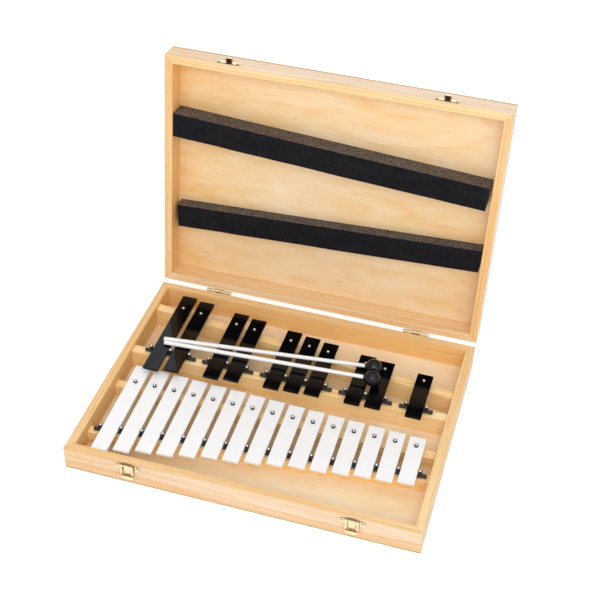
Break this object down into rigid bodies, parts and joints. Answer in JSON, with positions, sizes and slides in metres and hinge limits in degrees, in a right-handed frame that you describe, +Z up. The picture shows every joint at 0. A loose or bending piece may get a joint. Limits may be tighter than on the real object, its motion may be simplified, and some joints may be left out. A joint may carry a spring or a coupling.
{
  "type": "glockenspiel",
  "caption": "Chromatic glockenspiel with white natural and black accidental bars on rails in a hinged wooden case, lid open, two mallets lying on the bars.",
  "frame": {"origin": "centre of the underside of the case's base, which is what the case rests on", "axes": "+X along the case from the long, low bars to the short, high ones; +Y from the player to the hinges; +Z up. The lid stands open."},
  "size_m": [0.43, 0.4004, 0.3608],
  "materials": {
    "pine_frame": "satin clear-coated pine with straight grain",
    "plywood": "satin thin plywood with a pale face veneer",
    "pine_rail": "matt pine",
    "white_bar": "satin white enamel on steel",
    "black_bar": "gloss black enamel on steel",
    "black_rubber": "matt rubber",
    "pin_steel": "bright nickel plate",
    "foam": "matt black open-cell foam, skin in front and cut faces at the sides",
    "hardware_brass": "bright pale brass plate",
    "mallet_stick": "satin white",
    "mallet_head": "gloss black moulding"
  },
  "bodies": {
    "base": {"base_front_wall": "pine_frame", "base_back_wall": "pine_frame", "base_left_wall": "pine_frame", "base_right_wall": "pine_frame", "base_floor": "plywood", "natural_front_rail": "pine_rail", "natural_rear_rail": "pine_rail", "accidental_front_rail": "pine_rail", "accidental_rear_rail": "pine_rail", "natural_cushion_cord": "black_rubber", "accidental_cushion_cords": "black_rubber", "natural_pins": "pin_steel", "accidental_pins": "pin_steel", "natural_pin_sleeves": "black_rubber", "accidental_pin_sleeves": "black_rubber", "hinge_base_leaves": "hardware_brass", "hinge_pins": "hardware_brass", "latch_base_plates": "hardware_brass", "base_hardware_nails": "hardware_brass", "bar_g5": "white_bar", "bar_a5": "white_bar", "bar_b5": "white_bar", "bar_c6": "white_bar", "bar_d6": "white_bar", "bar_e6": "white_bar", "bar_f6": "white_bar", "bar_g6": "white_bar", "bar_a6": "white_bar", "bar_b6": "white_bar", "bar_c7": "white_bar", "bar_d7": "white_bar", "bar_e7": "white_bar", "bar_f7": "white_bar", "bar_g7": "white_bar", "bar_g5_sharp": "black_bar", "bar_a5_sharp": "black_bar", "bar_c6_sharp": "black_bar", "bar_d6_sharp": "black_bar", "bar_f6_sharp": "black_bar", "bar_g6_sharp": "black_bar", "bar_a6_sharp": "black_bar", "bar_c7_sharp": "black_bar", "bar_d7_sharp": "black_bar", "bar_f7_sharp": "black_bar"},
    "lid": {"lid_front_wall": "pine_frame", "lid_back_wall": "pine_frame", "lid_left_wall": "pine_frame", "lid_right_wall": "pine_frame", "lid_panel": "plywood", "lid_foam_front": "foam", "lid_foam_rear": "foam", "hinge_lid_leaves": "hardware_brass", "latch_hooks": "hardware_brass", "lid_hardware_nails": "hardware_brass"},
    "latch_left": {"latch_loop_left": "hardware_brass"},
    "latch_right": {"latch_loop_right": "hardware_brass"},
    "mallet_1": {"mallet_1_stick": "mallet_stick", "mallet_1_head": "mallet_head"},
    "mallet_2": {"mallet_2_stick": "mallet_stick", "mallet_2_head": "mallet_head"}
  },
  "joints": [
    {"name": "lid_hinge", "type": "hinge", "parent": "base", "child": "lid", "pos_m": [0, 0.1647, 0.03335], "axis": [1, 0, 0], "range_deg": [0, 97.1], "deforming": ["lid_foam_rear"]},
    {"name": "latch_left_swing", "type": "hinge", "parent": "base", "child": "latch_left", "pos_m": [-0.135, -0.1641, 0.0306], "axis": [-1, 0, 0], "range_deg": [0, 176]},
    {"name": "latch_right_swing", "type": "hinge", "parent": "base", "child": "latch_right", "pos_m": [0.135, -0.1641, 0.0306], "axis": [-1, 0, 0], "range_deg": [0, 176]},
    {"name": "mallet_1_lift", "type": "slide", "parent": "base", "child": "mallet_1", "axis": [0, 0, 1], "range_m": [0, 0.3]},
    {"name": "mallet_2_lift", "type": "slide", "parent": "base", "child": "mallet_2", "axis": [0, 0, 1], "range_m": [0, 0.3]}
  ]
}
